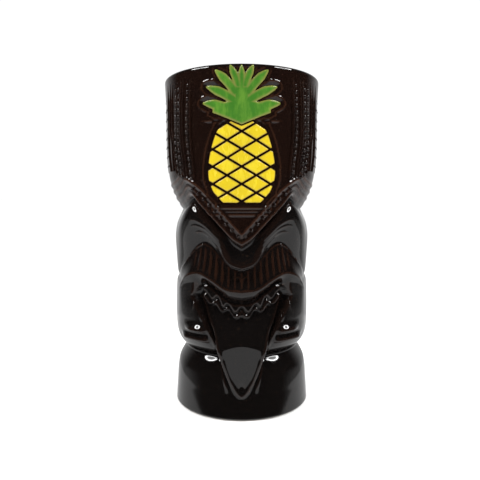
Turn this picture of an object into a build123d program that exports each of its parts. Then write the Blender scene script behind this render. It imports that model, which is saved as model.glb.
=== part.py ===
from build123d import *
from math import cos, pi, sin
import os

# A slip-cast tiki mug. One fired clay body carries the whole carved face. A dark cover glaze
# coats its outside and its lip, a liner glaze coats the inside, and a pineapple is painted on the
# headdress with a green glaze for the crown and a yellow glaze for every scale of the fruit.
# The origin is under the middle of the foot, +Z is up and the face looks along -Y.
# All sizes are in millimetres. Radii of the outside are measured on the finished glaze.

# Heights of the three tiers, from the table up
collar_height = 28.0  # foot to the groove under the chin
head_height = 70.5  # groove under the chin to the underside of the headdress
headdress_height = 66.5  # underside of the headdress to the lip

# Outside radii
foot_radius = 34.2
collar_radius = 33.3
neck_radius = 28.7
jaw_radius = 34.2
brow_radius = 35.1
brow_groove_radius = 30.8
headdress_low_radius = 36.8  # the headdress is a plain cone behind its carving
lip_radius = 40.6

# Clay, glaze and foot
wall = 4.2  # at the lip
head_wall = 6.4  # behind the carved face
floor_thickness = 6.0
floor_rounding = 7.0
glaze = 0.4
foot_ring_width = 6.5
foot_recess = 1.4
foot_rounding = 1.4
dry_foot = 1.7  # bare clay left above the table
lip_rounding = 1.6

# The carved face, sizes as seen from the front
nose_half_width = 13.0
muzzle_half_width = 31.0
tongue_half_width = 25.5  # at the corners of the mouth
tongue_length = 45.8
cheek_swell = 2.6  # how far the cheeks swell out beside the mouth
tooth_pitch = 6.4
tooth_scallop = 1.5
hand_inner = 19.0
hand_outer = 37.0
headband_ridge_width = 3.2

# The carved face, radii of its masses
nose_radius = 37.4
muzzle_crease_radius = 34.3
upper_lip_radius = 37.6
mouth_radius = 31.3
tooth_radius = 33.9
tongue_root_radius = 31.6
tongue_ridge_radius = 37.8
tongue_tip_radius = 35.4
tongue_border = 0.5
hand_rise = 1.1
headband_rise = 0.9

# The pineapple
fruit_half_width = 16.0
fruit_height = 38.6
fruit_lift = 2.6  # from the underside of the headdress to the bottom of the fruit
scale_half_width = 6.7
scale_half_height = 4.0
scale_groove = 1.1
smallest_scale = 2.5  # slivers of scale with less area than this aren't painted
crown_half_width = 17.3
crown_overlap = 2.6  # how far the crown dips into the top of the fruit
crown_lip_gap = 1.5  # from the tips of the crown to the lip
panel_depth = 0.7  # the clay is cut back this far under the painted panels
groove_glaze = 0.5  # cover glaze in the grooves between the scales
colour_thickness = 0.9
paint_gap = 0.03  # between a coloured glaze and the cover glaze round it

# Fineness of the carved skin
section_points = 120
section_spacing = 2.5
section_softness = 1.5  # the carving's steps are this soft

chin = collar_height
band = collar_height + head_height
lip = band + headdress_height
girth = 0.5 * (headdress_low_radius + lip_radius)  # radius for measuring round the skin


def smooth(value, start, end):
    """0 before start and 1 after end, with a soft change between them."""
    share = min(1.0, max(0.0, (value - start) / (end - start)))
    return share * share * (3 - 2 * share)


def mix(first, second, share):
    return first + (second - first) * share


def bump(distance, half_width):
    """A rounded ridge, 1 on its middle line and 0 at half_width."""
    return max(0.0, 1 - (distance / half_width) ** 2) ** 2


def through(points, x):
    """The height at x of a soft line through points, level beyond its ends."""
    if x <= points[0][0]:
        return points[0][1]
    if x >= points[-1][0]:
        return points[-1][1]
    index = next(i for i in range(len(points) - 1) if x <= points[i + 1][0])
    (x0, y0), (x1, y1) = points[index], points[index + 1]
    before = points[max(index - 1, 0)]
    after = points[min(index + 2, len(points) - 1)]
    slope0 = (y1 - before[1]) / (x1 - before[0])
    slope1 = (after[1] - y0) / (after[0] - x0)
    t = (x - x0) / (x1 - x0)
    width = x1 - x0
    return (
        (1 + 2 * t) * (1 - t) ** 2 * y0
        + t * (1 - t) ** 2 * width * slope0
        + t * t * (3 - 2 * t) * y1
        + t * t * (t - 1) * width * slope1
    )


def head_line(points, x):
    """A line across the head, its heights given as shares of the head's height."""
    return chin + head_height * through(points, x)


def headdress_edge(x):
    """Lower edge of the headdress: a point between the brows, rising to the temples."""
    line = [(0, 0.75), (5, 0.795), (10, 0.865), (20, 1.00), (29, 1.085), (40, 1.03), (52, 1.0)]
    return head_line(line, x)


def headband_top(x):
    """Upper ridge of the headband."""
    line = [(0, 0.83), (10, 0.98), (20, 1.125), (30, 1.20), (38, 1.21), (60, 1.21)]
    return head_line(line, x)


def crease(x):
    """The crease under the nose and the brows, down to the notch in front of the ears."""
    line = [(0, 0.60), (6, 0.63), (12, 0.70), (19, 0.765), (25, 0.75), (36, 0.63), (50, 0.52), (60, 0.51)]
    return head_line(line, x)


def lip_ridge(x):
    """The most forward line of the upper lip."""
    line = [(0, 0.46), (8, 0.475), (15, 0.53), (22, 0.57), (28, 0.56), (34, 0.52), (40, 0.44)]
    return head_line(line, x)


def lip_under(x):
    """Where the underside of the upper lip meets the mouth."""
    line = [(0, 0.375), (6, 0.39), (12, 0.44), (19, 0.495), (24, 0.48), (27, 0.42)]
    return head_line(line, x)


def tooth_edge(x):
    """Scalloped lower edge of the teeth."""
    line = [(0, 0.285), (10, 0.32), (16, 0.36), (22, 0.42)]
    return head_line(line, x) + tooth_scallop * (1 - abs(sin(pi * x / tooth_pitch)))


def collar_skin(z):
    share = z / collar_height
    stations = [
        (0, foot_radius),
        (0.38, collar_radius + 0.3),
        (0.62, collar_radius - 0.1),
        (0.78, collar_radius - 0.9),
        (0.92, mix(neck_radius, collar_radius, 0.36)),
        (1.0, neck_radius),
    ]
    return through(stations, share)


def jaw_skin(x, z):
    """Cheeks and jaw, with two folds like small hands laid beside the tongue."""
    share = (z - chin) / (0.51 * head_height)
    stations = [
        (0, neck_radius),
        (0.05, neck_radius + 1.5),
        (0.12, jaw_radius - 2.0),
        (0.22, jaw_radius - 0.6),
        (0.36, jaw_radius),
        (0.70, jaw_radius - 0.2),
        (0.93, jaw_radius - 0.7),
        (1.0, jaw_radius - 1.1),
    ]
    swell = smooth(x, 10, 24) * (1 - smooth(x, 30, 52)) * smooth(share, 0.08, 0.4)
    skin = through(stations, share) + cheek_swell * swell
    reach = smooth(x, hand_inner - 3, hand_inner) * (1 - smooth(x, hand_outer - 8, hand_outer))
    for fold, height in ((0.185, 0.06), (0.115, 0.065)):
        above = (z - chin) / head_height - fold
        slope = smooth(above, -0.012, 0.0) * (1 - smooth(above, 0.0, height))
        skin += hand_rise * reach * slope
    return skin


def brow_skin(x, z):
    """Swollen brows at the sides, running into a broad nose in the middle."""
    low, high = crease(x), headdress_edge(x)
    share = (z - low) / (high - low)
    stations = [
        (0, brow_radius - 1.9),
        (0.06, brow_radius - 0.4),
        (0.35, brow_radius),
        (0.58, brow_radius - 0.3),
        (0.76, brow_radius - 1.4),
        (0.90, brow_radius - 3.2),
        (1.0, brow_groove_radius),
    ]
    bridge = [(0, nose_radius - 1.6), (0.1, nose_radius), (0.5, nose_radius - 0.9), (1, nose_radius - 1.5)]
    nose = 1 - smooth(x, 0.35 * nose_half_width, 1.5 * nose_half_width)
    return mix(through(stations, share), through(bridge, share), nose)


def muzzle_skin(x, z):
    """The wrinkled upper lip, sloping out from the crease to the lip ridge and back under it."""
    ridge = lip_ridge(x)
    if z > ridge:
        share = (z - ridge) / (crease(x) - ridge)
        return mix(upper_lip_radius, muzzle_crease_radius, share * (1.5 - 0.5 * share))
    share = min(1.0, (ridge - z) / max(ridge - lip_under(x), 0.1))
    under = mix(upper_lip_radius, mouth_radius + 1.5, share * share * (0.4 + 0.6 * share))
    return mix(under, max(under, upper_lip_radius - 1.2), smooth(x, 25, 29))


def tongue_share(z):
    """How far down the tongue a height is: 0 at its root, 1 at its tip."""
    return (chin + 0.40 * head_height - z) / tongue_length


def tongue_inside(x, z):
    """Distance inside the outline of the tongue."""
    shape = [(-0.1, 1.16), (0, 1.0), (0.14, 0.80), (0.28, 0.64), (0.43, 0.53), (0.61, 0.42)]
    shape += [(0.77, 0.32), (0.88, 0.225), (0.955, 0.13), (0.99, 0.05), (1.0, 0.0)]
    slant = [(0, 0.9), (0.6, 0.93), (0.8, 0.88), (0.9, 0.72), (1.0, 0.35)]
    share = tongue_share(z)
    if share >= 1:
        return -5.0
    return (tongue_half_width * through(shape, share) - x) * through(slant, share)


def tongue_skin(x, z, softness):
    """The tongue: out from the mouth to a cross ridge, then down to its tip on the collar."""
    inside = tongue_inside(x, z)
    if inside <= -softness:
        return 0.0
    stations = [
        (-0.1, tongue_root_radius - 1),
        (0.08, tongue_root_radius),
        (0.22, mix(tongue_root_radius, tongue_ridge_radius, 0.45)),
        (0.40, tongue_ridge_radius),
        (0.55, tongue_ridge_radius - 0.4),
        (0.85, tongue_tip_radius + 0.5),
        (1.0, tongue_tip_radius),
    ]
    middle = 0.5 * bump(x, 0.25 * tongue_half_width)
    skin = through(stations, tongue_share(z)) - middle + tongue_border * bump(inside - 1.6, 1.6)
    return skin - 7.0 * (1 - smooth(inside, -softness, 0.6))


def carved_skin(angle, z, softness=section_softness):
    """Radius of the finished mug at an angle from the front and a height."""
    x = abs(angle) * girth
    taper = (lip_radius - headdress_low_radius) / headdress_height
    skin = collar_skin(z) if z < chin else jaw_skin(x, z)
    low_line = crease(x)
    skin = mix(skin, brow_skin(x, max(z, low_line)), smooth(z, low_line - softness, low_line + softness))
    carving = 1 - smooth(x, muzzle_half_width, muzzle_half_width + 9)
    if carving and lip_under(x) - 2 < z < low_line:
        fade = smooth(z, lip_under(x) - 2, lip_under(x)) * (1 - smooth(z, low_line - softness, low_line))
        skin = mix(skin, muzzle_skin(x, z), carving * fade)
    mouth = smooth(tongue_inside(x, z), -2.0, -0.2) * smooth(0.62 - tongue_share(z), 0, 0.03)
    mouth *= 1 - smooth(z, lip_under(x) - softness, lip_under(x))
    skin = mix(skin, mouth_radius, mouth)
    hanging = smooth(z, tooth_edge(x) - softness, tooth_edge(x) + 0.3) * (1 - smooth(x, 21, 24))
    if mouth and hanging:
        gap = 0.9 * bump((x % tooth_pitch) - 0.0, 1.2) + 0.9 * bump(tooth_pitch - (x % tooth_pitch), 1.2)
        skin = max(skin, mix(skin, tooth_radius - gap, hanging * mouth))
    skin = max(skin, tongue_skin(x, z, softness))
    cone = lip_radius - taper * (lip - z)
    edge = headdress_edge(x)
    if z > edge - softness:
        side = smooth(x, 18, 42)
        rounding = mix(2.5, 17.0, side)
        above = max(0.0, (z - edge) / rounding)
        droop = mix(0.4, 3.2, side) * max(0.0, 1 - above) ** 2
        wing = 1.3 * side * smooth(z, edge + 6, edge + 16) * (1 - smooth(z, lip - 38, lip - 30))
        cover = cone - droop + wing
        steepness = 0.8
        for line, strength in ((edge + 1.4, 1 - 0.8 * side), (headband_top(x), 1 - 0.5 * side)):
            cover += headband_rise * strength * bump((z - line) * steepness, 0.5 * headband_ridge_width)
        skin = mix(skin, cover, smooth(z, edge - softness, edge + 0.4 * softness))
    return min(skin, lip_radius)


def section(z, inset):
    """One closed outline round the mug at a height."""
    points = []
    for number in range(section_points):
        angle = 2 * pi * number / section_points - pi
        reach = carved_skin(angle, z) - inset
        points.append((reach * sin(angle), -reach * cos(angle), z))
    even = [number / section_points for number in range(section_points + 1)]
    return Face(Wire([Edge.make_spline(points, periodic=True, parameters=even)]))


def carved_block(inset):
    """The outside of the mug, inset from the finished glaze, as one solid from foot to lip."""
    count = round(lip / section_spacing)
    return loft([section(lip * number / count, inset) for number in range(count + 1)])


def disc(radius, low, high):
    return Pos(0, 0, low) * Cylinder(radius, high - low, align=(Align.CENTER, Align.CENTER, Align.MIN))


def turned(stations, grow=0.0):
    """A solid of revolution whose side is a soft line through (radius, height) stations."""
    points = [(radius + grow, height) for radius, height in stations]
    (low_radius, low), (high_radius, high) = points[0], points[-1]
    foot = Line((0, low), (low_radius, low))
    head = Line((high_radius, high), (0, high))
    outline = Curve() + [foot, Spline(*points), head, Line((0, high), (0, low))]
    return revolve(Plane.XZ * make_face(outline.edges()), Axis.Z)


def cavity(grow=0.0, sink=0.0, rise=0.0):
    """The hollow of the mug, which follows its waist and opens out in the headdress."""
    floor = floor_thickness
    base = collar_radius - head_wall
    inner_lip = lip_radius - glaze - wall
    stations = [
        (base - floor_rounding, floor - sink),
        (base - 0.28 * floor_rounding, floor + 0.35 * floor_rounding),
        (base, floor + 1.1 * floor_rounding),
        (neck_radius - wall, chin + 1),
        (jaw_radius - head_wall, chin + 0.22 * head_height),
        (mouth_radius - 0.85 * wall, chin + 0.42 * head_height),
        (brow_radius - head_wall, chin + 0.72 * head_height),
        (brow_groove_radius - wall, band),
        (headdress_low_radius - 1.15 * wall, band + 0.19 * headdress_height),
        (mix(headdress_low_radius - wall, inner_lip, 0.5), band + 0.5 * headdress_height),
        (inner_lip, lip),
    ]
    if rise:
        stations.append((inner_lip, lip + rise))
    return turned(stations, grow)


def cone_radius(depth):
    """Radii of the headdress cone at its underside and its lip, at a depth under the glaze."""
    return headdress_low_radius - depth, lip_radius - depth


def headdress_cone(depth):
    low, high = cone_radius(depth)
    foot = (Align.CENTER, Align.CENTER, Align.MIN)
    return Pos(0, 0, band) * Cone(low, high, headdress_height, align=foot)


def forwards(outline):
    """A front outline carried out through the face of the mug."""
    return extrude(Plane.XZ * outline, amount=2 * lip_radius)


def fruit_outline(inset=0.0):
    """The pineapple's fruit, wide low down and nearly flat underneath."""
    shape = [(0.33, 0.0), (0.62, 0.03), (0.85, 0.14), (0.975, 0.28), (1.0, 0.41)]
    shape += [(0.96, 0.56), (0.87, 0.72), (0.73, 0.87), (0.52, 0.97), (0.2, 1.0)]
    low = band + fruit_lift + inset
    half, tall = fruit_half_width - inset, fruit_height - 2 * inset
    right = [(x * half, low + z * tall) for x, z in shape]
    left = [(-x, z) for x, z in reversed(right)]
    return make_face(Spline(*(right + left), periodic=True).edges())


def crown_outline(grow=0.0):
    """The pineapple's crown: pointed leaves that fan out to both sides of an upright one."""
    shape = [(0, 0), (0.40, 0.10), (0.69, 0.21), (1.0, 0.41), (0.66, 0.42), (0.86, 0.52)]
    shape += [(0.94, 0.68), (0.56, 0.60), (0.69, 0.76), (0.69, 0.93), (0.36, 0.75), (0.34, 0.88)]
    shape += [(0.27, 0.99), (0.12, 0.85), (0, 1.0)]
    low = band + fruit_lift + fruit_height - crown_overlap
    tall = lip - crown_lip_gap - low
    right = [(x * crown_half_width, low + z * tall) for x, z in shape]
    left = [(-x, z) for x, z in reversed(right[1:-1])]
    outline = make_face(Polyline(*right, *left, close=True).edges())
    return offset(outline, amount=grow) if grow else outline


def scale_outlines(gap):
    """Every painted scale of the fruit, by row and column, with a groove between them."""
    outlines = {}
    field = fruit_outline(0.5 * scale_groove + gap) - crown_outline(0.5 * scale_groove + gap)
    shrink = 1 - (0.5 * scale_groove + gap) * (1 / scale_half_width**2 + 1 / scale_half_height**2) ** 0.5
    middle = band + fruit_lift + 0.5 * fruit_height + 0.45 * scale_half_height
    wide, tall = scale_half_width * shrink, scale_half_height * shrink
    diamond = Polygon((wide, 0), (0, tall), (-wide, 0), (0, -tall), align=None)
    row_reach = int(fruit_height / scale_half_height / 2) + 1
    column_reach = int(fruit_half_width / scale_half_width) + 1
    for row in range(-row_reach, row_reach + 1):
        for column in range(-column_reach, column_reach + 1):
            if (row + column) % 2:
                continue
            place = Pos(column * scale_half_width, middle + row * scale_half_height)
            pieces = (field & (place * diamond)).faces()
            if pieces:
                piece = max(pieces, key=lambda face: face.area)
                if piece.area > smallest_scale:
                    outlines[(row + row_reach, column + column_reach)] = piece
    return outlines


def largest(shape):
    """The one real solid of a cut, without loose crumbs."""
    return max(shape.solids(), key=lambda solid: solid.volume)


def lip_trim(inset):
    """What is turned away above the lip, so that both of its edges are round."""
    top, outer = lip - inset, lip_radius - inset
    inner = lip_radius - glaze - wall - glaze + inset
    side = lip_rounding + (glaze - inset) * 0.5
    kept = Pos(0.5 * (inner + outer), top - 2 * side) * RectangleRounded(outer - inner, 4 * side, side)
    block = Pos(0.5 * (inner + outer), top) * Rectangle(4 * wall, 2 * side)
    return revolve(Plane.XZ * (block - kept), Axis.Z)


def clay_body():
    """The fired casting: carved outside, smooth hollow and a foot ring."""
    body = carved_block(glaze) - disc(2 * lip_radius, lip - glaze, lip + 5)
    body -= cavity(rise=5)
    body -= lip_trim(glaze)
    foot = (Align.CENTER, Align.CENTER, Align.MIN)
    edge = foot_radius - glaze + 0.1
    trimmed = Cone(edge - foot_rounding, edge, foot_rounding, align=foot)
    body -= disc(2 * foot_radius, 0, foot_rounding) - trimmed
    recess_radius = foot_radius - foot_ring_width
    body -= Cone(recess_radius + 0.4 * foot_recess, recess_radius - 0.6 * foot_recess, foot_recess, align=foot)
    floor = headdress_cone(panel_depth)
    body -= forwards(fruit_outline()) - floor
    return body - (forwards(crown_outline(paint_gap)) - floor)


def all_glaze(clay):
    """Both clear glazes as one skin, with openings where the coloured glazes lie."""
    skin = carved_block(0) - disc(2 * foot_radius, 0, dry_foot) - cavity(-glaze, -glaze, 5)
    skin -= lip_trim(0)
    skin -= forwards(fruit_outline()) - headdress_cone(panel_depth - groove_glaze)
    floor = headdress_cone(panel_depth)
    skin -= forwards(crown_outline(paint_gap)) - floor
    skin -= [forwards(outline) - floor for outline in scale_outlines(0).values()]
    return largest(skin - clay)


def main():
    os.makedirs("parts", exist_ok=True)
    clay = clay_body()
    export_step(clay, "parts/clay_body.step")
    skin = all_glaze(clay)
    inner = cavity(0.5 * wall, 0.5 * floor_thickness, 5)
    export_step(largest(skin - inner), "parts/cover_glaze.step")
    export_step(largest(skin & inner), "parts/liner_glaze.step")
    coat = headdress_cone(panel_depth - colour_thickness) - headdress_cone(panel_depth)
    export_step(forwards(crown_outline()) & coat, "parts/pineapple_crown.step")
    for (row, column), outline in scale_outlines(paint_gap).items():
        export_step(forwards(outline) & coat, f"parts/fruit_scale_r{row}_c{column}.step")


main()
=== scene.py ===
import math

import bpy
import numpy as np
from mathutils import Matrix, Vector


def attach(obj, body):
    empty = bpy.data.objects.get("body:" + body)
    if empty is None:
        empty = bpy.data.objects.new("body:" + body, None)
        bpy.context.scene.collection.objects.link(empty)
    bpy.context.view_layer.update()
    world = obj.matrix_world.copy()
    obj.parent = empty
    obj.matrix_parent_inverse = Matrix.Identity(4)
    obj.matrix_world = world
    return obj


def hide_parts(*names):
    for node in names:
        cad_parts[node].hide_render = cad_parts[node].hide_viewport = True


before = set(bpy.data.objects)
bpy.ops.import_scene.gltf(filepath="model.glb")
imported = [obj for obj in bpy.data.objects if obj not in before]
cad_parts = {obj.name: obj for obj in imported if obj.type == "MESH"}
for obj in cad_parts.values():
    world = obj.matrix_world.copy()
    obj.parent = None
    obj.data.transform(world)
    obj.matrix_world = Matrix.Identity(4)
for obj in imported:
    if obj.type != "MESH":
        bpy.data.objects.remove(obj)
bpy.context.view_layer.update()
scene = bpy.context.scene
mm = 0.001



class Sock:
    # wraps a shader socket so that sums read as sums
    def __init__(self, mat, out):
        self.mat, self.out = mat, out

    def maths(self, op, *others):
        return self.mat.maths(op, self, *others)

    def __add__(self, o): return self.maths("ADD", o)
    def __radd__(self, o): return self.maths("ADD", o)
    def __sub__(self, o): return self.maths("SUBTRACT", o)
    def __rsub__(self, o): return self.mat.maths("SUBTRACT", o, self)
    def __mul__(self, o): return self.maths("MULTIPLY", o)
    def __rmul__(self, o): return self.maths("MULTIPLY", o)


class Finish:
    # a material or world tree, with one method that makes any node
    def __init__(self, owner):
        owner.use_nodes = True
        self.owner, self.nodes, self.links = owner, owner.node_tree.nodes, owner.node_tree.links
        self.nodes.clear()

    def feed(self, slot, value):
        if isinstance(value, Sock):
            self.links.new(value.out, slot)
        else:
            slot.default_value = value

    def maths(self, op, *values):
        node = self.nodes.new("ShaderNodeMath")
        node.operation = op
        for slot, value in zip(node.inputs, values):
            self.feed(slot, value)
        return Sock(self, node.outputs[0])

    def make(self, kind, settings=None, values=None, out=0):
        node = self.nodes.new("ShaderNode" + kind)
        for key, value in (settings or {}).items():
            setattr(node, key, value)
        for key, value in (values or {}).items():
            self.feed(node.inputs[key], value)
        return Sock(self, node.outputs[out]) if len(node.outputs) else None

    def blend(self, share, first, second):
        node = self.nodes.new("ShaderNodeMix")
        node.data_type = "RGBA"
        self.feed(node.inputs[0], share)
        for slot, value in ((node.inputs[6], first), (node.inputs[7], second)):
            self.feed(slot, (*value, 1) if isinstance(value, tuple) else value)
        return Sock(self, node.outputs[2])

    def between(self, value, low, high):
        return self.make("MapRange", {"interpolation_type": "SMOOTHSTEP"},
                         {"Value": value, "From Min": low, "From Max": high})

    def noise(self, scale, detail=3.0, rough=0.5, stretch=(1, 1, 1)):
        place = self.make("TexCoord", out=3)
        place = self.make("Mapping", None, {"Vector": place, "Scale": stretch})
        values = {"Vector": place, "Scale": scale, "Detail": detail, "Roughness": rough}
        return self.make("TexNoise", None, values)

    def attribute(self, name):
        return self.make("Attribute", {"attribute_name": name}, out=2)

    def surface(self, values):
        shader = self.make("BsdfPrincipled", None, values)
        self.make("OutputMaterial", None, {"Surface": shader})
        return self.owner


def through(points, x):
    # soft line through points, level beyond its ends
    px, py = np.array(points, float).T
    slope = np.empty_like(py)
    slope[1:-1] = (py[2:] - py[:-2]) / (px[2:] - px[:-2])
    slope[0], slope[-1] = np.diff(py[:2])[0] / np.diff(px[:2])[0], np.diff(py[-2:])[0] / np.diff(px[-2:])[0]
    x = np.clip(x, px[0], px[-1])
    i = np.clip(np.searchsorted(px, x, side="right") - 1, 0, len(px) - 2)
    width = px[i + 1] - px[i]
    t = (x - px[i]) / width
    return ((1 + 2 * t) * (1 - t) ** 2 * py[i] + t * (1 - t) ** 2 * width * slope[i]
            + t * t * (3 - 2 * t) * py[i + 1] + t * t * (t - 1) * width * slope[i + 1])


def smooth(value, start, end):
    t = np.clip((value - start) / (end - start), 0, 1)
    return t * t * (3 - 2 * t)


def bump(distance, halfWidth):
    return np.maximum(0, 1 - (distance / halfWidth) ** 2) ** 2


def lerp(a, b, t):
    return a + (b - a) * t


def meshPiece(name, points, faces, material, attributes=None):
    mesh = bpy.data.meshes.new(name)
    mesh.from_pydata([tuple(p) for p in points], [], faces)
    for key, values in (attributes or {}).items():
        mesh.attributes.new(key, "FLOAT", "POINT").data.foreach_set("value", np.asarray(values, np.float32))
    mesh.materials.append(material)
    mesh.validate()
    mesh.shade_smooth()
    piece = bpy.data.objects.new(name, mesh)
    scene.collection.objects.link(piece)
    return piece


# finishes

print("finishes")
glazeLook = {"dark": (0.0035, 0.0028, 0.0026), "warm": (0.0075, 0.0034, 0.0024),
             "thin": (0.026, 0.0105, 0.0058), "rough": 0.04}


def darkGlaze():
    m = Finish(bpy.data.materials.new("darkCoverGlaze"))
    thin = m.attribute("thin")
    cloud = m.noise(90, 4, 0.6)
    warm = m.between(m.attribute("warm") * (0.5 + cloud), 0.2, 1.2)
    thin = m.between(thin * (0.4 + 1.0 * cloud), 0.25, 1.1) * (0.2 + 0.8 * m.attribute("warm"))
    colour = m.blend(warm, glazeLook["dark"], glazeLook["warm"])
    colour = m.blend(thin, colour, glazeLook["thin"])
    speck = m.between(m.noise(900, 2, 0.5), 0.66, 0.74)
    colour = m.blend(speck * 0.35, colour, (0.05, 0.03, 0.02))
    ripple = m.noise(260, 2, 0.5)
    normal = m.make("Bump", None, {"Strength": 0.04, "Distance": 0.0002, "Height": ripple})
    rough = glazeLook["rough"] + 0.03 * m.noise(40, 2, 0.5)
    return m.surface({"Base Color": colour, "Roughness": rough, "IOR": 1.52, "Normal": normal})


def paintGlaze(name, main, pale, edge, rough):
    m = Finish(bpy.data.materials.new(name))
    brush = m.noise(220, 4, 0.65, (1.0, 1.0, 0.35))
    colour = m.blend(m.between(brush, 0.42, 0.75), main, pale)
    worn = m.between(m.attribute("edge"), 0.25, 1.0) * (0.5 + 0.8 * m.noise(700, 2, 0.5))
    colour = m.blend(worn, colour, edge)
    normal = m.make("Bump", None, {"Strength": 0.35, "Distance": 0.0002, "Height": m.noise(900, 3, 0.5)})
    return m.surface({"Base Color": colour, "Roughness": rough + 0.1 * brush, "IOR": 1.5, "Normal": normal})


def bareClay():
    m = Finish(bpy.data.materials.new("bareClay"))
    colour = m.blend(m.noise(400, 5, 0.6), (0.42, 0.37, 0.30), (0.62, 0.56, 0.47))
    normal = m.make("Bump", None, {"Strength": 0.3, "Distance": 0.0002, "Height": m.noise(1500, 4, 0.6)})
    return m.surface({"Base Color": colour, "Roughness": 0.75 + 0.1 * m.noise(600), "Normal": normal})


darkGlazeFinish = darkGlaze()
yellowFinish = paintGlaze("yellowGlaze", (0.62, 0.46, 0.003), (0.70, 0.56, 0.012), (0.40, 0.27, 0.03), 0.22)
greenFinish = paintGlaze("greenGlaze", (0.040, 0.165, 0.012), (0.10, 0.25, 0.02), (0.20, 0.20, 0.04), 0.2)
clayFinish = bareClay()

# the carved skin, sizes in millimetres

form = {
    "collar": 28.0, "head": 70.5, "headdress": 66.5,
    "foot": 34.2, "collarRadius": 33.3, "neck": 28.7, "jaw": 34.2, "brow": 35.1, "groove": 30.8,
    "low": 36.8, "lip": 40.6, "wall": 4.2, "headWall": 6.4, "floor": 6.0, "glaze": 0.4, "dryFoot": 1.7, "drip": 0.6,
    "noseHalf": 13.0, "muzzleHalf": 31.0, "tongueHalf": 25.5, "tongueLength": 45.8,
    "lipRound": 1.8, "rimGap": 0.15, "foldRise": 2.1, "nose": 37.4, "creaseRadius": 34.3, "upperLip": 37.6,
    "mouth": 31.3, "tooth": 33.9, "tongueRoot": 31.6, "tongueRidge": 37.8, "tongueTip": 35.4,
}
f = type("Sizes", (), form)
chin, band = f.collar, f.collar + f.head
lip = band + f.headdress
girth = 0.5 * (f.low + f.lip)
soft = 0.5  # softness of the carving's steps


def headLine(points, x):
    return chin + f.head * through(points, x)


def headdressEdge(x):
    return headLine([(0, 0.75), (5, 0.795), (10, 0.865), (20, 1.0), (29, 1.085), (40, 1.03), (52, 1.0)], x)


def headbandTop(x):
    return headLine([(0, 0.83), (10, 0.98), (20, 1.125), (30, 1.20), (38, 1.21), (60, 1.21)], x)


def crease(x):
    return headLine([(0, 0.60), (6, 0.63), (12, 0.70), (19, 0.765), (25, 0.75), (36, 0.63), (50, 0.52),
                     (60, 0.51)], x)


def lipRidge(x):
    return headLine([(0, 0.46), (8, 0.475), (15, 0.53), (22, 0.57), (28, 0.56), (34, 0.52), (40, 0.44)], x)


def lipUnder(x):
    return headLine([(0, 0.375), (6, 0.39), (12, 0.44), (19, 0.495), (24, 0.48), (27, 0.42)], x)


def toothEdge(x):
    return headLine([(0, 0.292), (3.5, 0.282), (7.3, 0.335), (11, 0.320), (14.5, 0.366), (18, 0.366),
                     (22, 0.42)], x)


def gumLine(x):
    return headLine([(0, 0.352), (3.5, 0.309), (7.5, 0.366), (10, 0.342), (13, 0.412), (16, 0.388),
                     (20, 0.44)], x)


def collarSkin(z):
    return through([(0, f.foot), (0.38, f.collarRadius + 0.3), (0.62, f.collarRadius - 0.1),
                    (0.78, f.collarRadius - 0.9), (0.92, lerp(f.neck, f.collarRadius, 0.36)), (1, f.neck)],
                   z / f.collar)


def jawSkin(x, z):
    share = (z - chin) / (0.51 * f.head)
    skin = through([(0, f.neck), (0.05, f.neck + 1.5), (0.12, f.jaw - 2), (0.22, f.jaw - 0.6), (0.36, f.jaw),
                    (0.7, f.jaw + 0.1), (0.93, f.jaw - 0.2), (1, f.jaw - 1.0)], share)
    swell = smooth(x, 10, 24) * (1 - smooth(x, 30, 52)) * smooth(z, chin + 3, chin + 0.2 * f.head)
    skin = skin + swell * (2.4 + 0.6 * smooth(z, chin + 0.2 * f.head, chin + 0.45 * f.head))
    for fold, height, inner, outer in ((0.185, 0.06, 19.5, 34.0), (0.115, 0.055, 18.5, 40.0)):
        reach = smooth(x, inner - 2, inner + 1) * (1 - smooth(x, outer - 8, outer))
        above = (z - chin) / f.head - fold
        skin = skin + f.foldRise * reach * smooth(above, -0.012, 0.0) * (1 - smooth(above, 0.0, height))
    return skin


def browSkin(x, z):
    low, high = crease(x), headdressEdge(x)
    share = (z - low) / (high - low)
    side = through([(0, f.brow - 2.3), (0.07, f.brow - 1.5), (0.35, f.brow - 0.7), (0.6, f.brow - 0.3),
                    (0.78, f.brow - 1.2), (0.91, f.brow - 3.0), (1, f.groove)], share)
    front = through([(0, f.brow - 1.6), (0.2, f.brow - 0.4), (0.5, f.brow + 1.6), (0.66, f.brow + 2.0),
                     (0.82, f.brow + 0.6), (0.93, f.brow - 2.2), (1, f.groove + 0.6)], share)
    bridge = through([(0, f.nose - 0.4), (0.08, f.nose + 0.6), (0.3, f.nose - 0.4), (0.6, f.nose - 3.0),
                      (0.85, f.nose - 3.2), (1, f.nose - 2.5)], share)
    nose = 1 - smooth(x, 0.35 * f.noseHalf, 1.1 * f.noseHalf)
    skin = lerp(front, side, smooth(x, 30, 50))
    for place in (0.30, 0.44, 0.57):
        lid = bump((share - place) * (high - low), 0.9) * smooth(x, 8, 13) * (1 - smooth(x, 20, 31))
        skin = skin + 0.35 * lid
    return lerp(skin, bridge, nose)


def muzzleSkin(x, z):
    ridge = lipRidge(x)
    up = (z - ridge) / (crease(x) - ridge)
    above = lerp(f.upperLip, f.creaseRadius, up * (1.5 - 0.5 * up))
    down = np.clip((ridge - z) / np.maximum(ridge - lipUnder(x), 0.1), 0, 1)
    under = lerp(f.upperLip, f.mouth + 1.5, down * (0.45 + 0.55 * down))
    corner = smooth(x, 21, 28)
    under = lerp(under, np.maximum(under, f.upperLip - 1.2), corner)
    ribs = 0.8 * np.sin(np.pi * x / 3.3) ** 2 * bump(up - 0.5, 0.5) * (1 - smooth(x, 22, 28))
    return np.where(z > ridge, above - ribs, under)


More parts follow.
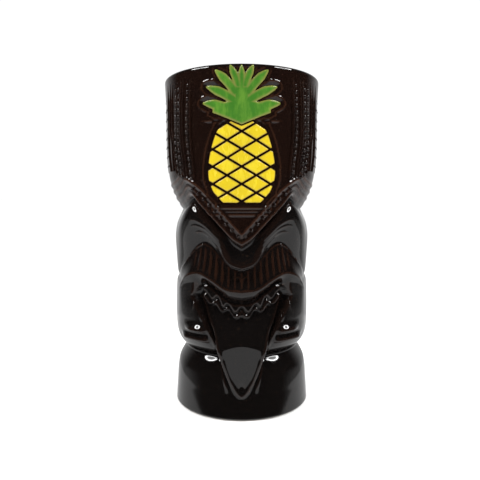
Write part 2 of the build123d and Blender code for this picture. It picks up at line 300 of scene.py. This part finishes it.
def tongueInside(x, z):
    share = (chin + 0.40 * f.head - z) / f.tongueLength
    half = f.tongueHalf * through([(-0.1, 1.16), (0, 1.0), (0.14, 0.80), (0.28, 0.64), (0.43, 0.53),
                                   (0.61, 0.42), (0.77, 0.32), (0.88, 0.225), (0.955, 0.15), (0.99, 0.075),
                                   (1.0, 0.0)], share)
    slope = np.interp(share, (0, 0.3, 0.6, 0.8, 0.9, 0.96, 1.0), (0.9, 0.92, 0.93, 0.88, 0.72, 0.5, 0.35))
    return np.where(share < 1, (half - x) * slope, -5.0), share


def tongueSkin(x, z):
    inside, share = tongueInside(x, z)
    share = share - 0.05 * (x / 9) ** 2 * smooth(share, 0.2, 0.4)
    climb = lerp(f.tongueRoot, f.tongueRidge, 0.45)
    skin = through([(-0.1, f.tongueRoot - 1), (0.08, f.tongueRoot), (0.22, climb),
                    (0.4, f.tongueRidge), (0.55, f.tongueRidge - 0.4), (0.85, f.tongueTip + 0.5),
                    (1, f.tongueTip)], share)
    skin = skin - 0.5 * bump(x, 6) + (0.5 + 0.9 * bump(share - 0.12, 0.2)) * bump(inside - 1.3, 1.5)
    return np.where(inside > -soft, skin - 7.0 * (1 - smooth(inside, -soft, 0.6)), 0)


def carvedSkin(x, z):
    # radius of the finished mug at a distance round the skin from the middle of the face
    low = crease(x)
    skin = np.where(z < chin, collarSkin(z), jawSkin(x, z))
    skin = lerp(skin, browSkin(x, np.maximum(z, low)), smooth(z, low - soft, low + soft))
    carving = 1 - smooth(x, f.muzzleHalf - 3, f.muzzleHalf + 12)
    under = lipUnder(x)
    start = under - lerp(2, 11, smooth(x, 20, 30))
    fade = smooth(z, start, under) * (1 - smooth(z, low - soft, low)) * (z < low)
    skin = lerp(skin, muzzleSkin(x, np.minimum(z, low)), carving * fade)
    inside, share = tongueInside(x, z)
    mouth = smooth(inside, -1.6, -0.4) * (1 - smooth(z, under - soft, under)) * (share < 0.62)
    skin = lerp(skin, f.mouth, mouth)
    hanging = smooth(z, toothEdge(x) - soft, toothEdge(x) + 0.3) * (1 - smooth(x, 21, 24)) * mouth
    gap = 1.3 * bump(z - gumLine(x), 1.1)
    skin = np.where(hanging > 0, np.maximum(skin, lerp(skin, f.tooth + 0.7 - gap, hanging)), skin)
    skin = np.maximum(skin, tongueSkin(x, z))
    outline = bump(inside + 2.2, 1.0) * (1 - smooth(z, 42, 50)) * (1 - smooth(share, 0.85, 0.97))
    skin = skin + 0.45 * outline
    nostril = bump(np.hypot(x - 2.2, z - 65.6) - 1.5, 0.7) * smooth(z, 64.6, 65.6)
    skin = skin + 0.4 * nostril
    skin = skin - 0.7 * bump(np.hypot(x, (z - 16.5) * 0.6), 1.6)
    taper = (f.lip - f.low) / f.headdress
    edge = headdressEdge(x)
    side = smooth(x, 18, 42)
    above = np.maximum(0, (z - edge) / lerp(2.5, 17.0, side))
    cover = f.lip - taper * (lip - z) - lerp(0.4, 5.6, side) * np.maximum(0, 1 - above) ** 1.8
    cover = cover + 0.8 * side * smooth(z, edge + 8, edge + 26) * (1 - smooth(z, lip - 40, lip - 14))
    for line, strength in ((edge + 1.4, 1 - 0.7 * side), (headbandTop(x), 1 - side)):
        cover = cover + 0.9 * strength * bump((z - line) * 0.8, 1.6)
    for rise in (4.6, 8.0, 11.4):
        cover = cover + 0.5 * side * bump((z - edge - rise) * 0.8, 1.35)
    skin = np.where(z > edge - soft, lerp(skin, cover, smooth(z, edge - soft, edge + 0.4 * soft)), skin)
    return np.minimum(skin, f.lip - f.rimGap)


pineapple = {"half": 16.0, "height": 38.6, "lift": 2.6, "scaleHalfWidth": 6.7, "scaleHalfHeight": 4.0,
             "groove": 1.1, "crownHalf": 17.3, "overlap": 2.6, "lipGap": 0.9}
fruitLow = band + pineapple["lift"]
fruitShape = [(0, 0.55), (0.03, 0.62), (0.085, 0.74), (0.14, 0.85), (0.28, 0.975), (0.41, 1.0), (0.56, 0.96),
              (0.72, 0.87), (0.87, 0.73), (0.97, 0.52), (1.0, 0.2)]


def fruitInside(x, z):
    # distance inside the fruit's outline, about true near the edge
    share = (z - fruitLow) / pineapple["height"]
    half = pineapple["half"] * through(fruitShape, share)
    shares = np.linspace(0, 1, 201)
    slope = np.gradient(pineapple["half"] * through(fruitShape, shares), pineapple["height"] / 200)
    tilt = np.interp(share, shares, slope)
    sideways = (half - np.abs(x)) / np.sqrt(1 + tilt ** 2)
    return np.minimum(sideways, np.minimum(z - fruitLow, fruitLow + pineapple["height"] - z))


crownLow = fruitLow + pineapple["height"] - pineapple["overlap"]
crownTall = lip - pineapple["lipGap"] - crownLow
leaves = [((0.25, 0.23), (0.62, 0.36), (1.04, 0.385), 4.9), ((0.17, 0.40), (0.52, 0.56), (0.95, 0.66), 4.6),
          ((0.17, 0.55), (0.40, 0.76), (0.71, 0.93), 4.4), ((0.09, 0.66), (0.17, 0.83), (0.31, 1.0), 3.7),
          ((0.0, 0.50), (0.0, 0.8), (0.0, 1.0), 3.6)]


def crownInside(x, z):
    # the deepest of all the leaves, the stem and the wedge that it grows from
    u = np.abs(x)
    stem = np.minimum(3.8 - u, np.minimum(z - crownLow - 0.42 * u, crownLow + 0.66 * crownTall - z))
    wedge = np.minimum((z - crownLow - 0.42 * u) * 0.92, (crownLow + 0.38 * crownTall - z) - 0.25 * (u - 9))
    best = np.maximum(stem, np.minimum(wedge, 13.5 - u))
    t = np.linspace(0, 1, 41)[:, None, None]
    for root, middle, tip, width in leaves:
        px = pineapple["crownHalf"] * ((1 - t) ** 2 * root[0] + 2 * t * (1 - t) * middle[0] + t * t * tip[0])
        pz = crownLow + crownTall * ((1 - t) ** 2 * root[1] + 2 * t * (1 - t) * middle[1] + t * t * tip[1])
        reach = 0.5 * width * np.minimum(1, 1.7 * (1 - t) ** 0.55) - np.hypot(u[None] - px, z[None] - pz)
        best = np.maximum(best, reach.max(0))
    return best


def coneRadius(z):
    return f.lip - (f.lip - f.low) / f.headdress * (lip - z)


print("skin")
frontStep, backStep, rowStep = 0.56, 2.2, 0.52
frontHalf = 50.0
front = np.linspace(-frontHalf, frontHalf, round(2 * frontHalf / frontStep) + 1)
backReach = 2 * np.pi * girth - 2 * frontHalf
back = frontHalf + backReach * np.arange(1, round(backReach / backStep)) / round(backReach / backStep)
around = np.concatenate([front, back])
around = np.where(around > np.pi * girth, around - 2 * np.pi * girth, around)
heights = np.linspace(f.drip, lip - f.lipRound, round((lip - f.lipRound - f.drip) / rowStep) + 1)
x, z = np.meshgrid(around, heights)
radius = carvedSkin(np.abs(x), z)
flatX = np.where(np.abs(x) < 30, radius * np.sin(x / girth), 99.0)
fruit = fruitInside(flatX, z)
crown = crownInside(flatX, z)
panel = np.maximum(fruit, crown)
radius = radius - 0.35 * smooth(panel, -0.6, 0.0) + 0.45 * bump(panel + 1.9, 0.9) * (z < band + 60)
for ring in (1.9, 3.4, 5.2):
    radius = radius + 0.35 * bump(fruit + ring, 0.7) * (z < fruitLow + 3)
thin = smooth(np.gradient(np.gradient(radius, axis=0), axis=0) * -1, 0.0, 0.08)
thin = np.maximum(thin, smooth(np.gradient(np.gradient(radius, axis=1), axis=1) * -1, 0.0, 0.08))
angle = x / girth
outer = np.stack([radius * np.sin(angle), -radius * np.cos(angle), z], -1)

# the lip and the hollow are turned rings that go on from the carved rows
hollowFloor = f.floor + f.glaze
innerLip = f.lip - f.wall - 2 * f.glaze
outerLip = f.lip - f.rimGap
mid, halfWall = 0.5 * (outerLip + innerLip), 0.5 * (outerLip - innerLip)
lipRows = 14
lipArc = np.linspace(0.06, math.pi, lipRows)
rings = [(mid + halfWall * math.cos(a), lip - f.lipRound + f.lipRound * math.sin(a)) for a in lipArc]
base = f.collarRadius - f.headWall
# height and radius of the hollow's wall, from the lip down
hollow = [(lip - f.lipRound, innerLip), (band + 0.5 * f.headdress, lerp(f.low - f.wall, innerLip, 0.5)),
          (band + 12.6, f.low - 1.15 * f.wall), (band, f.groove - f.wall), (chin + 50.8, f.brow - f.headWall),
          (chin + 29.6, f.mouth - 0.85 * f.wall), (chin + 15.5, f.jaw - f.headWall),
          (chin + 1, f.neck - f.wall),
          (f.floor + 7.7, base), (f.floor + 2.8, base - 2), (hollowFloor, base - 7)]
hollowZ = np.linspace(lip - 2.3, hollowFloor, 56)
hollowR = through(hollow[::-1], hollowZ)
rings += list(zip(hollowR, hollowZ)) + [(r, hollowFloor) for r in (16, 10, 4)]
turned = np.array([[(r * math.sin(a), -r * math.cos(a), h) for a in around / girth] for r, h in rings])
# the glaze turns in behind its lower edge and ends against the clay
tuck = f.foot - 2 * f.glaze
under = [[tuck * math.sin(a), -tuck * math.cos(a), f.dryFoot] for a in around / girth]
grid = np.concatenate([[under], outer, turned])
thinRings = np.array([0.5] * lipRows + [0.0] * (len(rings) - lipRows))
thinAll = np.concatenate([thin[:1], thin, np.tile(thinRings[:, None], (1, len(around)))])
warm = smooth(z, headdressEdge(np.abs(x)) - 2, headdressEdge(np.abs(x)) + 4)
warm = np.maximum(warm, 0.45 * (np.abs(x) < 34) * (z > lipRidge(np.abs(x))) * (z < crease(np.abs(x))))
warmAll = np.concatenate([warm[:1], warm, np.full((len(rings), len(around)), 0.4)])
rows, cols = grid.shape[:2]
points = list(grid.reshape(-1, 3) * mm)
index = np.arange(rows * cols).reshape(rows, cols)
a, b = index[:-1], index[1:]
faces = np.stack([a, np.roll(a, -1, 1), np.roll(b, -1, 1), b], -1).reshape(-1, 4).tolist()
points += [np.array([0, 0, hollowFloor]) * mm, np.array([0, 0, f.dryFoot]) * mm]
faces += [[index[-1, i], index[-1, (i + 1) % cols], len(points) - 2] for i in range(cols)]
faces += [[index[0, (i + 1) % cols], index[0, i], len(points) - 1] for i in range(cols)]
glaze = meshPiece("mugGlaze", points, faces, darkGlazeFinish,
                  {"thin": np.concatenate([thinAll.ravel(), [0, 0]]),
                   "warm": np.concatenate([warmAll.ravel(), [0, 0]])})
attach(glaze, "root")
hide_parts("cover_glaze", "liner_glaze")

# radius and height round the bare foot, from the recess out and up inside the glaze
footRings = [(0.0, 1.4), (27.0, 1.4), (27.6, 1.2), (28.0, 0.2), (28.3, 0.0), (32.4, 0.0), (33.2, 0.35),
             (33.75, 1.0), (33.85, 1.8), (33.5, 3.0), (0.0, 3.0)]
ringPoints, ringFaces = [], []
count = 160
turns = np.arange(count) * 2 * np.pi / count
for r, h in footRings[1:-1]:
    ringPoints += [(r * math.sin(t) * mm, -r * math.cos(t) * mm, h * mm) for t in turns]
for row in range(len(footRings) - 3):
    for i in range(count):
        j = (i + 1) % count
        ringFaces.append([row * count + i, row * count + j, (row + 1) * count + j, (row + 1) * count + i])
ringPoints += [(0, 0, footRings[0][1] * mm), (0, 0, footRings[-1][1] * mm)]
last = (len(footRings) - 3) * count
ringFaces += [[(i + 1) % count, i, len(ringPoints) - 2] for i in range(count)]
ringFaces += [[last + i, last + (i + 1) % count, len(ringPoints) - 1] for i in range(count)]
foot = meshPiece("clayFoot", ringPoints, ringFaces, clayFinish)
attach(foot, "root")
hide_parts("clay_body")


print("side carving")
carvingLook = {"beadSpacing": 3.1, "beadSize": 1.15, "beadSink": 0.1, "lineWidth": 0.85, "lineSink": 0.12,
               "tickSpacing": 4.5, "tickSize": 0.85, "tickSink": 0.1, "dotSpacing": 3.7, "dotSize": 0.85,
               "dotSink": -0.15}


def carvingTree(name, kind):
    # kind is beads, bars or line: what is set along every guide curve
    tree = bpy.data.node_groups.new(name, "GeometryNodeTree")
    inputs = {}
    for label, socketType in (("Geometry", "NodeSocketGeometry"), ("Spacing", "NodeSocketFloat"),
                              ("Size", "NodeSocketFloat"), ("Finish", "NodeSocketMaterial")):
        inputs[label] = tree.interface.new_socket(label, in_out="INPUT", socket_type=socketType).identifier
    tree.interface.new_socket("Geometry", in_out="OUTPUT", socket_type="NodeSocketGeometry")

    def add(kind, settings=None, values=None):
        node = tree.nodes.new(kind)
        for key, value in (settings or {}).items():
            setattr(node, key, value)
        for key, value in (values or {}).items():
            if isinstance(value, bpy.types.NodeSocket):
                tree.links.new(value, node.inputs[key])
            else:
                node.inputs[key].default_value = value
        return node

    given = add("NodeGroupInput")
    if kind == "line":
        profile = add("GeometryNodeCurvePrimitiveCircle", None,
                      {"Resolution": 8, "Radius": given.outputs["Size"]})
        made = add("GeometryNodeCurveToMesh", None, {"Curve": given.outputs["Geometry"],
                                                     "Profile Curve": profile.outputs[0], "Fill Caps": True})
    else:
        even = add("GeometryNodeResampleCurve", {"mode": "LENGTH"},
                   {"Curve": given.outputs["Geometry"], "Length": given.outputs["Spacing"]})
        bead = add("GeometryNodeMeshUVSphere", None,
                   {"Segments": 10, "Rings": 6, "Radius": given.outputs["Size"]})
        stretch = (1.0, 1.0, 1.0) if kind == "beads" else (2.6, 0.7, 0.7)
        shaped = add("GeometryNodeTransform", None, {"Geometry": bead.outputs[0], "Scale": stretch})
        placed = add("GeometryNodeInstanceOnPoints", None,
                     {"Points": even.outputs[0], "Instance": shaped.outputs[0]})
        if kind == "bars":
            place = add("GeometryNodeInputPosition")
            outward = add("ShaderNodeVectorMath", {"operation": "MULTIPLY"},
                          {0: place.outputs[0], 1: (1, 1, 0)})
            across = add("ShaderNodeVectorMath", {"operation": "CROSS_PRODUCT"},
                         {0: outward.outputs[0], 1: (0, 0, 1)})
            turn = add("FunctionNodeAlignRotationToVector", {"axis": "X"}, {"Vector": across.outputs[0]})
            tree.links.new(turn.outputs[0], placed.inputs["Rotation"])
        made = add("GeometryNodeRealizeInstances", None, {"Geometry": placed.outputs[0]})
    smoothed = add("GeometryNodeSetShadeSmooth", None, {"Geometry": made.outputs[0]})
    painted = add("GeometryNodeSetMaterial", None,
                  {"Geometry": smoothed.outputs[0], "Material": given.outputs["Finish"]})
    add("NodeGroupOutput", None, {"Geometry": painted.outputs[0]})
    return tree, inputs


def guideCurve(name, paths, sink, reach):
    data = bpy.data.curves.new(name, "CURVE")
    data.dimensions = "3D"
    for path in paths:
        along = np.array(path, float)
        px, pz = along[:, 0], along[:, 1]
        r = np.minimum(carvedSkin(np.abs(px), pz) - sink, f.lip - 0.2 - reach)
        spline = data.splines.new("POLY")
        spline.points.add(len(px) - 1)
        for point, x0, z0, r0 in zip(spline.points, px, pz, r):
            point.co = (r0 * math.sin(x0 / girth) * mm, -r0 * math.cos(x0 / girth) * mm, z0 * mm, 1)
    guide = bpy.data.objects.new(name, data)
    scene.collection.objects.link(guide)
    return guide


def carve(name, tree, inputs, paths, sink, spacing, size):
    guide = guideCurve(name + "Guide", paths, sink, size)
    holder = guide.modifiers.new("carve", "NODES")
    holder.node_group = tree
    holder[inputs["Spacing"]] = spacing * mm
    holder[inputs["Size"]] = size * mm
    holder[inputs["Finish"]] = darkGlazeFinish
    ready = guide.evaluated_get(bpy.context.evaluated_depsgraph_get())
    mesh = bpy.data.meshes.new_from_object(ready)
    mesh.name = name
    bpy.data.objects.remove(guide)
    for key, value in (("thin", 0.45), ("warm", 1.0)):
        values = np.full(len(mesh.vertices), value, np.float32)
        mesh.attributes.new(key, "FLOAT", "POINT").data.foreach_set("value", values)
    piece = bpy.data.objects.new(name, mesh)
    scene.collection.objects.link(piece)
    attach(piece, "root")
    return piece


def softPath(points, count=60):
    # a soft guide through points given as distance round the skin and height
    pts = np.array(points, float)
    t = np.linspace(0, 1, len(pts))
    fine = np.linspace(0, 1, count)
    return np.stack([through(list(zip(t, pts[:, 0])), fine), through(list(zip(t, pts[:, 1])), fine)], -1)


def bothSides(paths):
    return [softPath([(side * px, pz) for px, pz in path]) for path in paths for side in (-1, 1)]


beadTree, beadInputs = carvingTree("beadRow", "beads")
barTree, barInputs = carvingTree("barRow", "bars")
lineTree, lineInputs = carvingTree("ridgeLine", "line")
columns = [[(26.6, 160), (27.4, 150), (28.0, 135), (27.2, 122), (26.4, 113)],
           [(33.6, 159), (33.8, 145), (34.2, 130), (33.4, 114)],
           [(36.2, 159), (36.6, 145), (36.8, 130), (36.0, 115)]]
carve("sideBeads", beadTree, beadInputs, bothSides(columns), carvingLook["beadSink"],
      carvingLook["beadSpacing"], carvingLook["beadSize"])
ridges = [[(24.8, 161), (25.2, 150), (25.8, 135), (25.0, 122), (24.4, 113)],
          [(29.2, 160), (30.4, 148), (30.8, 135), (29.8, 122), (29.0, 113)],
          [(31.2, 160), (32.0, 148), (32.4, 135), (31.4, 122), (30.8, 113.5)],
          [(38.4, 160), (40.0, 148), (39.8, 138), (38.0, 128), (38.2, 116)],
          [(41.0, 160), (42.4, 150), (43.4, 138), (40.6, 130), (41.0, 117)],
          [(45.0, 160), (45.6, 145), (45.6, 130), (45.0, 117)],
          [(61.5, 160), (61.5, 145), (61.5, 130), (61.5, 117)]]
carve("sideLines", lineTree, lineInputs, bothSides(ridges), carvingLook["lineSink"], 1.0,
      carvingLook["lineWidth"])
carve("sideTicks", barTree, barInputs, bothSides([[(50.5, 158), (50.5, 140), (50.5, 120)],
                                                  [(57.0, 158), (57.0, 140), (57.0, 120)]]),
      carvingLook["tickSink"], carvingLook["tickSpacing"], carvingLook["tickSize"])
dots = [(x0, 0.5 * (headdressEdge(np.array([x0]))[0] + 1.4 + headbandTop(np.array([x0]))[0]))
        for x0 in (1.9, 6, 10, 14, 18, 22, 26)]
carve("headbandDots", beadTree, beadInputs, bothSides([dots]), carvingLook["dotSink"],
      carvingLook["dotSpacing"], carvingLook["dotSize"])


print("pineapple")


def paintPiece(name, inside, lowX, highX, lowZ, highZ, lift, pillow, material, node):
    # a pillowed field of coloured glaze, trimmed to where inside is above zero and bedded in the dark glaze
    step, bedding = 0.3, 0.45
    xs = np.arange(lowX, highX + step, step)
    zs = np.arange(lowZ, highZ + step, step)
    gx, gz = np.meshgrid(xs, zs)
    field = inside(gx, gz)
    keep = field > 0
    near = keep.copy()
    for dz in (-1, 0, 1):
        for dx in (-1, 0, 1):
            near |= np.roll(np.roll(keep, dz, 0), dx, 1)
    gradZ, gradX = np.gradient(field, step)
    size = np.maximum(gradX ** 2 + gradZ ** 2, 0.2)
    out = near & ~keep
    px = np.where(out, gx - np.clip(field, -0.6, 0) * gradX / size, gx)
    pz = np.where(out, gz - np.clip(field, -0.6, 0) * gradZ / size, gz)
    depth = np.where(out, 0, np.maximum(field, 0))
    swell = np.sqrt(np.clip(1 - (1 - np.clip(depth / pillow, 0, 1)) ** 2, 0, 1))
    top = coneRadius(pz) - bedding + (lift + bedding) * swell
    ids = -np.ones(gx.shape, int)
    quads = near[:-1, :-1] & near[1:, :-1] & near[:-1, 1:] & near[1:, 1:]
    quads &= (keep[:-1, :-1] | keep[1:, :-1] | keep[:-1, 1:] | keep[1:, 1:])
    used = np.zeros(gx.shape, bool)
    for dz, dx in ((0, 0), (1, 0), (0, 1), (1, 1)):
        used[dz:quads.shape[0] + dz, dx:quads.shape[1] + dx] |= quads
    ids[used] = np.arange(used.sum())
    pts = np.stack([px, -np.sqrt(np.maximum(top ** 2 - px ** 2, 1)), pz], -1)[used]
    r, c = np.nonzero(quads)
    fs = np.stack([ids[r, c], ids[r, c + 1], ids[r + 1, c + 1], ids[r + 1, c]], -1)
    n = len(pts)
    backPts = pts * np.array([0.975, 0.975, 1.0])
    edges = {}
    for face in fs.tolist():
        for i in range(4):
            edges[(face[i], face[(i + 1) % 4])] = True
    rim = [(p, q) for p, q in edges if (q, p) not in edges]
    allFaces = fs.tolist() + [[q + n for q in reversed(face)] for face in fs.tolist()]
    allFaces += [[q, p, p + n, q + n] for p, q in rim]
    edgeValue = np.clip(1 - depth[used] / (2.2 * pillow), 0, 1)
    piece = meshPiece(name, np.concatenate([pts, backPts]) * mm, allFaces, material,
                      {"edge": np.concatenate([edgeValue, edgeValue])})
    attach(piece, "root")
    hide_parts(node)
    return piece


halfW, halfH, groove = (pineapple[k] for k in ("scaleHalfWidth", "scaleHalfHeight", "groove"))
groove = groove - 0.2
middle = fruitLow + 0.5 * pineapple["height"] + 0.45 * halfH
perStep = 1 / math.hypot(1 / halfW, 1 / halfH)
rowReach, columnReach = int(pineapple["height"] / halfH / 2) + 1, int(pineapple["half"] / halfW) + 1
for node in sorted(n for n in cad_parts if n.startswith("fruit_scale")):
    row, column = (int(part[1:]) for part in node.split("_")[2:])
    cx, cz = (column - columnReach) * halfW, middle + (row - rowReach) * halfH

    def scaleInside(gx, gz, cx=cx, cz=cz):
        diamond = (1 - np.abs(gx - cx) / halfW - np.abs(gz - cz) / halfH) * perStep - 0.5 * groove
        fruitOnly = np.minimum(fruitInside(gx, gz), -crownInside(gx, gz)) - 0.5 * groove
        return np.minimum(diamond, fruitOnly)

    paintPiece("fruitScale" + node[len("fruit_scale"):], scaleInside, cx - halfW, cx + halfW, cz - halfH,
               cz + halfH, 0.10, 0.45, yellowFinish, node)
paintPiece("pineappleCrown", lambda gx, gz: crownInside(gx, gz) - 0.1, -18.5, 18.5, crownLow - 1, lip - 0.5,
           0.2, 0.9, greenFinish, "pineapple_crown")

# floor, light and camera

print("studio")
studio = {"floor": (0.93, 0.93, 0.93), "front": 0.006, "table": 0.78, "around": 0.6, "cheek": 0.3,
          "fill": 1.12, "lamp": 30.0, "ring": (0.12, 0.2)}
lampWay = (0.698, -0.166, 0.697)


def plane(name, lowX, lowY, highX, highY, height, material):
    corners = [(lowX, lowY, height), (highX, lowY, height), (highX, highY, height), (lowX, highY, height)]
    piece = meshPiece(name, corners, [[0, 1, 2, 3]], material)
    return piece


m = Finish(bpy.data.materials.new("paleFloor"))
floorFinish = m.surface({"Base Color": (*studio["floor"], 1), "Roughness": 0.9, "Specular IOR Level": 0.1})
floorPiece = plane("floor", -30, -30, 30, 30, 0.0, floorFinish)
floorPiece.visible_glossy = False  # the glaze mirrors the studio round it, not the bright table top

world = bpy.data.worlds.new("studioWorld")
scene.world = world
w = Finish(world)
direction = w.make("TexCoord")
split = w.nodes.new("ShaderNodeSeparateXYZ")
w.feed(split.inputs[0], direction)
dirX, dirY, dirZ = (Sock(w, o) for o in split.outputs)
below = w.between(-1 * dirZ + 0.075 * dirY, 0.288, 0.308) * studio["table"]
cheek = w.between(-1 * dirZ, 0.02, 0.25) * w.between(dirY, -0.35, 0.3) * studio["cheek"]
behind = w.between(dirY, 0.25, 0.85) * (1 - 0.85 * w.between(dirZ, 0.35, 0.8)) * studio["around"]
facing = dirX.maths("ABSOLUTE") * lampWay[0] + dirY * lampWay[1] + dirZ * lampWay[2]
rim = w.between(facing, math.cos(studio["ring"][1]), math.cos(studio["ring"][1] - 0.015))
heart = w.between(facing, math.cos(studio["ring"][0] + 0.01), math.cos(studio["ring"][0]))
lampGlow = rim * (1 - 0.85 * heart) * studio["lamp"]
mirrorLight = below.maths("MAXIMUM", behind).maths("MAXIMUM", cheek) + studio["front"] + lampGlow
path = w.nodes.new("ShaderNodeLightPath")
camera, glossy = Sock(w, path.outputs["Is Camera Ray"]), Sock(w, path.outputs["Is Glossy Ray"])
strength = glossy * mirrorLight + (1 - glossy) * studio["fill"]
strength = camera * 1.05 + (1 - camera) * strength
light = w.make("Background", None, {"Color": (1, 1, 1, 1), "Strength": strength})
w.make("OutputWorld", None, {"Surface": light})

for side in (-1, 1):
    lamp = bpy.data.lights.new("softLamp", "AREA")
    lamp.shape, lamp.size, lamp.energy = "DISK", 0.2, 2.6
    lampObject = bpy.data.objects.new("softLamp" + "LR"[side > 0], lamp)
    lampObject.location = (side * 0.42, -0.10, 0.52)
    aim = Vector((0, 0, 0.09)) - lampObject.location
    lampObject.rotation_euler = aim.to_track_quat("-Z", "Y").to_euler()
    lampObject.visible_glossy = False  # the glaze mirrors the ring in the world instead
    scene.collection.objects.link(lampObject)

cameraData = bpy.data.cameras.new("camera")
cameraData.sensor_width, cameraData.lens = 36, 36.75
cameraData.shift_y = -0.0885
cameraData.shift_x = -0.0035
cameraData.clip_start = 0.01
cameraObject = bpy.data.objects.new("camera", cameraData)
cameraObject.location = (0, -0.2615, 0.104)
cameraObject.rotation_euler = (math.radians(90), 0, 0)
scene.collection.objects.link(cameraObject)
scene.camera = cameraObject
scene.view_settings.view_transform = "Standard"
